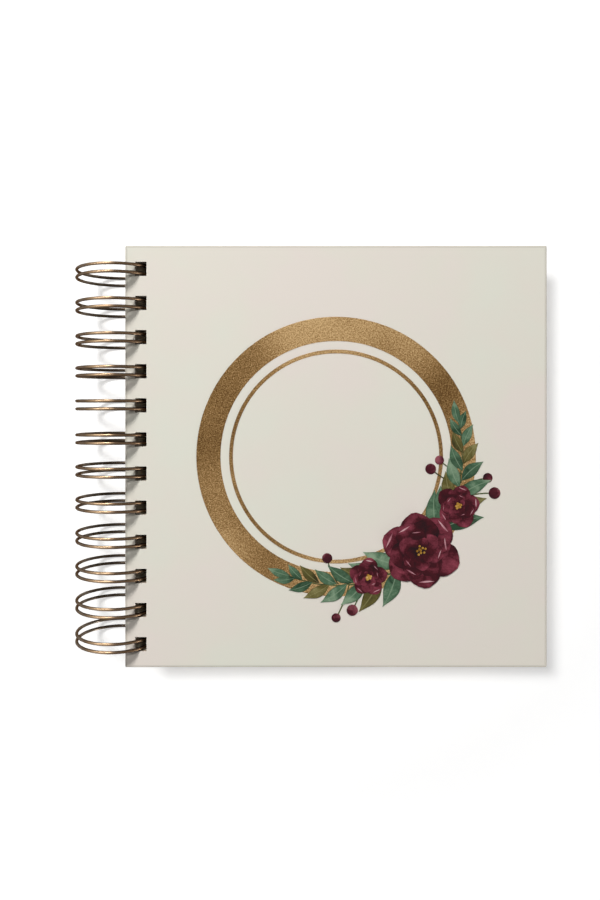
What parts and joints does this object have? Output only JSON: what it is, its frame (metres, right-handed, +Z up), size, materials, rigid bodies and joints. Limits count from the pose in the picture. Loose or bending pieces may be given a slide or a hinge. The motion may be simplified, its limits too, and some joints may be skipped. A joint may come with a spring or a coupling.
{
  "type": "indexed notebook",
  "caption": "Square hard-cover notebook with tabbed index dividers and page sections turning on a twin-loop wire; gold foil hoop on the cover.",
  "frame": {"origin": "under the middle of the whole outline, level with the lowest points of the wire loops", "axes": "+Z up through the closed book; the spine runs along Y at the -X side, and +X points to the fore-edge; +Y points to the head, the top edge of the cover"},
  "size_m": [0.178, 0.157, 0.0319],
  "materials": {
    "greyboard": "matte",
    "laminated_wrap": "satin",
    "liner_paper": "matte",
    "bronze_wire": "satin",
    "gold_foil": "satin",
    "page_paper": "matte",
    "index_card": "matte"
  },
  "bodies": {
    "back_cover": {"back_cover_board": "greyboard", "back_cover_wrap": "laminated_wrap", "back_cover_liner": "liner_paper", "wire_loop_01": "bronze_wire", "wire_loop_02": "bronze_wire", "wire_loop_03": "bronze_wire", "wire_loop_04": "bronze_wire", "wire_loop_05": "bronze_wire", "wire_loop_06": "bronze_wire", "wire_loop_07": "bronze_wire", "wire_loop_08": "bronze_wire", "wire_loop_09": "bronze_wire", "wire_loop_10": "bronze_wire", "wire_loop_11": "bronze_wire", "wire_loop_12": "bronze_wire"},
    "pages_12": {"pages_12": "page_paper"},
    "divider_12": {"divider_12": "index_card"},
    "pages_11": {"pages_11": "page_paper"},
    "divider_11": {"divider_11": "index_card"},
    "pages_10": {"pages_10": "page_paper"},
    "divider_10": {"divider_10": "index_card"},
    "pages_09": {"pages_09": "page_paper"},
    "divider_09": {"divider_09": "index_card"},
    "pages_08": {"pages_08": "page_paper"},
    "divider_08": {"divider_08": "index_card"},
    "pages_07": {"pages_07": "page_paper"},
    "divider_07": {"divider_07": "index_card"},
    "pages_06": {"pages_06": "page_paper"},
    "divider_06": {"divider_06": "index_card"},
    "pages_05": {"pages_05": "page_paper"},
    "divider_05": {"divider_05": "index_card"},
    "pages_04": {"pages_04": "page_paper"},
    "divider_04": {"divider_04": "index_card"},
    "pages_03": {"pages_03": "page_paper"},
    "divider_03": {"divider_03": "index_card"},
    "pages_02": {"pages_02": "page_paper"},
    "divider_02": {"divider_02": "index_card"},
    "pages_01": {"pages_01": "page_paper"},
    "divider_01": {"divider_01": "index_card"},
    "opening_pages": {"opening_pages": "page_paper"},
    "front_cover": {"front_cover_board": "greyboard", "front_cover_wrap": "laminated_wrap", "front_cover_liner": "liner_paper", "foil_hoop": "gold_foil", "foil_inner_ring": "gold_foil"}
  },
  "joints": [
    {"name": "pages_12_turn", "type": "hinge", "parent": "back_cover", "child": "pages_12", "pos_m": [-0.07308, 0, 0.01588], "axis": [0, -1, 0], "range_deg": [0, 180]},
    {"name": "divider_12_turn", "type": "hinge", "parent": "pages_12", "child": "divider_12", "pos_m": [-0.07308, 0, 0.01588], "axis": [0, -1, 0], "range_deg": [0, 180]},
    {"name": "pages_11_turn", "type": "hinge", "parent": "divider_12", "child": "pages_11", "pos_m": [-0.07308, 0, 0.01588], "axis": [0, -1, 0], "range_deg": [0, 180]},
    {"name": "divider_11_turn", "type": "hinge", "parent": "pages_11", "child": "divider_11", "pos_m": [-0.07308, 0, 0.01588], "axis": [0, -1, 0], "range_deg": [0, 180]},
    {"name": "pages_10_turn", "type": "hinge", "parent": "divider_11", "child": "pages_10", "pos_m": [-0.07308, 0, 0.01588], "axis": [0, -1, 0], "range_deg": [0, 180]},
    {"name": "divider_10_turn", "type": "hinge", "parent": "pages_10", "child": "divider_10", "pos_m": [-0.07308, 0, 0.01588], "axis": [0, -1, 0], "range_deg": [0, 180]},
    {"name": "pages_09_turn", "type": "hinge", "parent": "divider_10", "child": "pages_09", "pos_m": [-0.07308, 0, 0.01588], "axis": [0, -1, 0], "range_deg": [0, 180]},
    {"name": "divider_09_turn", "type": "hinge", "parent": "pages_09", "child": "divider_09", "pos_m": [-0.07308, 0, 0.01588], "axis": [0, -1, 0], "range_deg": [0, 180]},
    {"name": "pages_08_turn", "type": "hinge", "parent": "divider_09", "child": "pages_08", "pos_m": [-0.07308, 0, 0.01588], "axis": [0, -1, 0], "range_deg": [0, 180]},
    {"name": "divider_08_turn", "type": "hinge", "parent": "pages_08", "child": "divider_08", "pos_m": [-0.07308, 0, 0.01588], "axis": [0, -1, 0], "range_deg": [0, 180]},
    {"name": "pages_07_turn", "type": "hinge", "parent": "divider_08", "child": "pages_07", "pos_m": [-0.07308, 0, 0.01588], "axis": [0, -1, 0], "range_deg": [0, 180]},
    {"name": "divider_07_turn", "type": "hinge", "parent": "pages_07", "child": "divider_07", "pos_m": [-0.07308, 0, 0.01588], "axis": [0, -1, 0], "range_deg": [0, 180]},
    {"name": "pages_06_turn", "type": "hinge", "parent": "divider_07", "child": "pages_06", "pos_m": [-0.07308, 0, 0.01588], "axis": [0, -1, 0], "range_deg": [0, 180]},
    {"name": "divider_06_turn", "type": "hinge", "parent": "pages_06", "child": "divider_06", "pos_m": [-0.07308, 0, 0.01588], "axis": [0, -1, 0], "range_deg": [0, 180]},
    {"name": "pages_05_turn", "type": "hinge", "parent": "divider_06", "child": "pages_05", "pos_m": [-0.07308, 0, 0.01588], "axis": [0, -1, 0], "range_deg": [0, 180]},
    {"name": "divider_05_turn", "type": "hinge", "parent": "pages_05", "child": "divider_05", "pos_m": [-0.07308, 0, 0.01588], "axis": [0, -1, 0], "range_deg": [0, 180]},
    {"name": "pages_04_turn", "type": "hinge", "parent": "divider_05", "child": "pages_04", "pos_m": [-0.07308, 0, 0.01588], "axis": [0, -1, 0], "range_deg": [0, 180]},
    {"name": "divider_04_turn", "type": "hinge", "parent": "pages_04", "child": "divider_04", "pos_m": [-0.07308, 0, 0.01588], "axis": [0, -1, 0], "range_deg": [0, 180]},
    {"name": "pages_03_turn", "type": "hinge", "parent": "divider_04", "child": "pages_03", "pos_m": [-0.07308, 0, 0.01588], "axis": [0, -1, 0], "range_deg": [0, 180]},
    {"name": "divider_03_turn", "type": "hinge", "parent": "pages_03", "child": "divider_03", "pos_m": [-0.07308, 0, 0.01588], "axis": [0, -1, 0], "range_deg": [0, 180]},
    {"name": "pages_02_turn", "type": "hinge", "parent": "divider_03", "child": "pages_02", "pos_m": [-0.07308, 0, 0.01588], "axis": [0, -1, 0], "range_deg": [0, 180]},
    {"name": "divider_02_turn", "type": "hinge", "parent": "pages_02", "child": "divider_02", "pos_m": [-0.07308, 0, 0.01588], "axis": [0, -1, 0], "range_deg": [0, 180]},
    {"name": "pages_01_turn", "type": "hinge", "parent": "divider_02", "child": "pages_01", "pos_m": [-0.07308, 0, 0.01588], "axis": [0, -1, 0], "range_deg": [0, 180]},
    {"name": "divider_01_turn", "type": "hinge", "parent": "pages_01", "child": "divider_01", "pos_m": [-0.07308, 0, 0.01588], "axis": [0, -1, 0], "range_deg": [0, 180]},
    {"name": "opening_pages_turn", "type": "hinge", "parent": "divider_01", "child": "opening_pages", "pos_m": [-0.07308, 0, 0.01588], "axis": [0, -1, 0], "range_deg": [0, 180]},
    {"name": "front_cover_turn", "type": "hinge", "parent": "opening_pages", "child": "front_cover", "pos_m": [-0.07308, 0, 0.01588], "axis": [0, -1, 0], "range_deg": [0, 180]}
  ]
}
